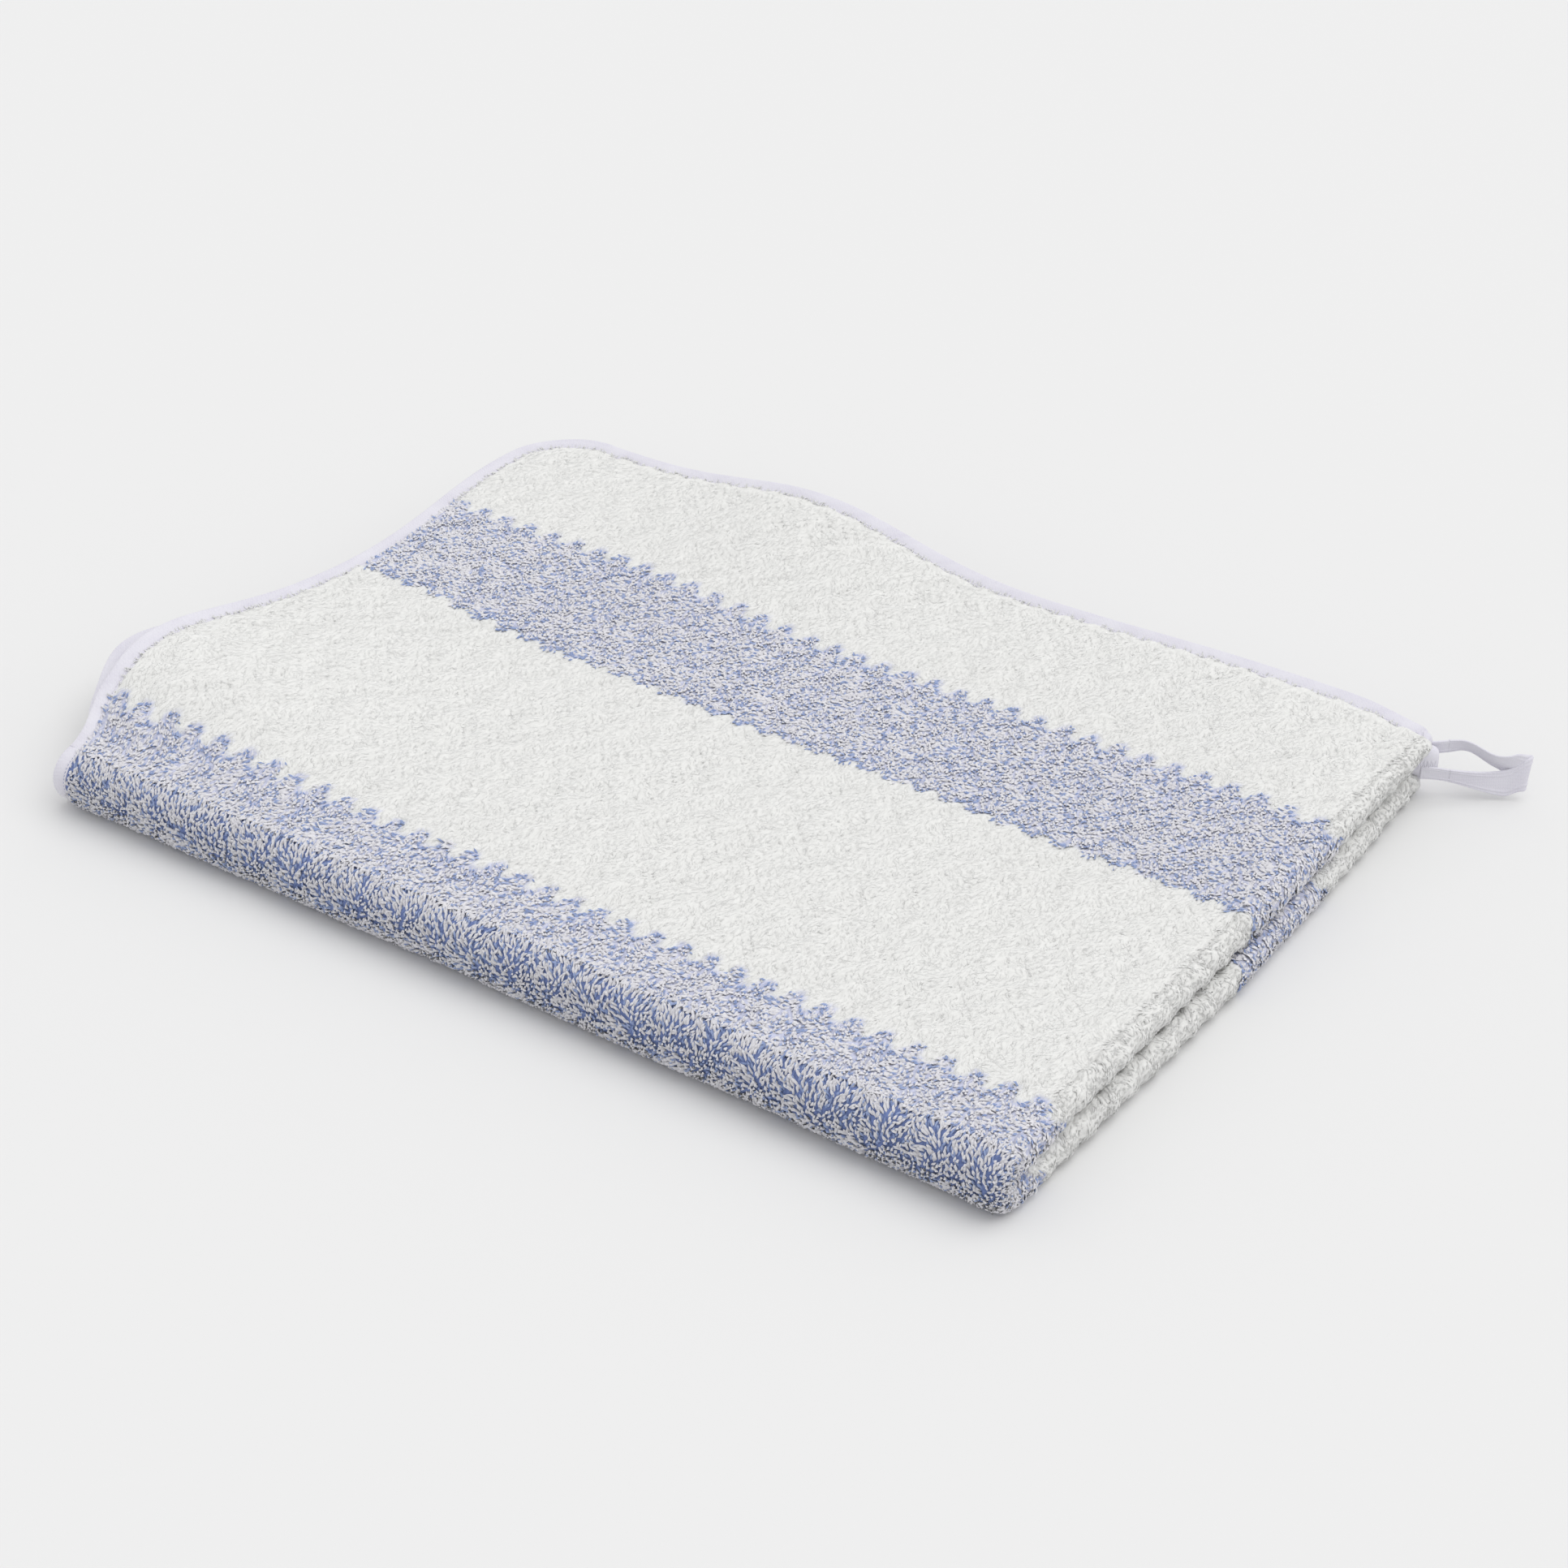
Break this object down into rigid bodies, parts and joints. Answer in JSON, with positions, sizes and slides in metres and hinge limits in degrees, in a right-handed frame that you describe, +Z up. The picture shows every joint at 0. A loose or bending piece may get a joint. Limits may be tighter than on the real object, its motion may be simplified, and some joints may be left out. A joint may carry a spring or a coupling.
{
  "type": "hooded baby towel",
  "caption": "Folded striped plush baby towel with rounded bound edges, a corner hood folded inside and a hanging loop; the upper half opens about the front fold.",
  "frame": {"origin": "centre of the folded stack on the surface it rests on", "axes": "+X along the stripes towards the side folds, +Y from the front fold to the open rear edges, +Z up"},
  "size_m": [0.5631, 0.39, 0.0466],
  "materials": {
    "terry_white": "matt plush pile, off-white",
    "terry_blue": "matt plush pile of blue and white yarns",
    "edge_tape": "fine ribbed tape, pale lavender white",
    "sewing_thread": "twisted polyester thread",
    "label_cloth": "smooth woven satin, blank"
  },
  "bodies": {
    "lower_half": {"lower_outer_panel": "terry_white", "lower_inner_panel": "terry_white", "lower_side_fold": "terry_white", "lower_outer_binding": "edge_tape", "lower_inner_binding": "edge_tape", "lower_side_turn_binding": "edge_tape", "lower_outer_stitching": "sewing_thread", "lower_inner_stitching": "sewing_thread", "hood_panel": "terry_white", "hood_edge_binding": "edge_tape", "hood_stitching": "sewing_thread", "care_label": "label_cloth", "front_fold_outer": "terry_blue", "front_fold_inner": "terry_white", "front_corner_fold": "terry_white", "front_outer_turn_binding": "edge_tape", "front_inner_turn_binding": "edge_tape"},
    "upper_half": {"upper_outer_panel": "terry_white", "upper_inner_panel": "terry_white", "upper_side_fold": "terry_white", "upper_outer_binding": "edge_tape", "upper_inner_binding": "edge_tape", "upper_side_turn_binding": "edge_tape", "upper_outer_stitching": "sewing_thread", "upper_inner_stitching": "sewing_thread", "loop_root_tab": "edge_tape", "loop_bartack": "sewing_thread"},
    "hanging_loop": {"hanging_loop": "edge_tape"}
  },
  "joints": [
    {"name": "front_fold", "type": "hinge", "parent": "lower_half", "child": "upper_half", "pos_m": [0, -0.1695, 0.0135], "axis": [1, 0, 0], "range_deg": [0, 180], "deforming": ["front_fold_outer", "front_fold_inner", "front_corner_fold", "front_outer_turn_binding", "front_inner_turn_binding"]},
    {"name": "loop_flex", "type": "hinge", "parent": "upper_half", "child": "hanging_loop", "pos_m": [0.2586, 0.184, 0.0205], "axis": [-0.5446, 0.8387, 0], "range_deg": [-100, 2]}
  ]
}
